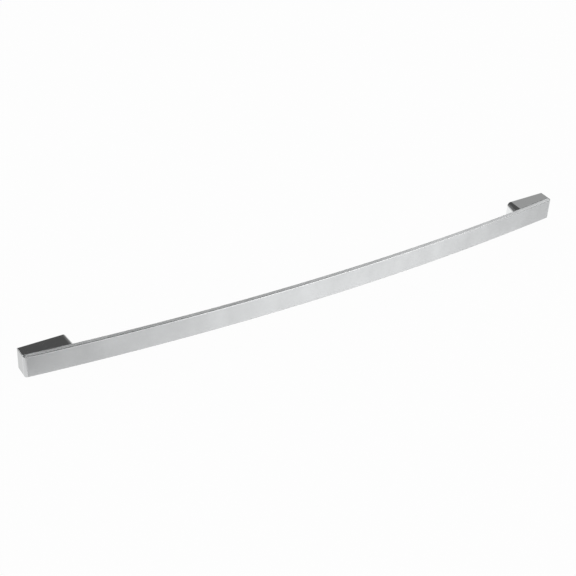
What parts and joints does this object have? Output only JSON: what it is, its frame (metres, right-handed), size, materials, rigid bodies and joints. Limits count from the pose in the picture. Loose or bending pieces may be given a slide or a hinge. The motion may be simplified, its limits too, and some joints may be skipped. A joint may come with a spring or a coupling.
{
  "type": "refrigerator door handle",
  "caption": "Slender flat door handle, gently bowed outwards, on two hollow cast end posts with threaded holes in their backs.",
  "frame": {"origin": "midway between the two door screws, on the plane of the door's face", "axes": "+X along the handle, +Z along the height of the flat bar, +Y into the door; the bar's front looks towards -Y"},
  "size_m": [0.64, 0.0349, 0.024],
  "materials": {
    "satin_bar": "satin",
    "chrome_casting": "polished",
    "plated_screw": "zinc plated",
    "spring_washer": "oiled black"
  },
  "bodies": {
    "root": {"grip_bar": "satin_bar", "left_post": "chrome_casting", "right_post": "chrome_casting", "bar_screw_left_outer": "plated_screw", "bar_screw_left_inner": "plated_screw", "bar_screw_right_inner": "plated_screw", "bar_screw_right_outer": "plated_screw", "lock_washer_left_outer": "spring_washer", "lock_washer_left_inner": "spring_washer", "lock_washer_right_inner": "spring_washer", "lock_washer_right_outer": "spring_washer"}
  },
  "joints": []
}
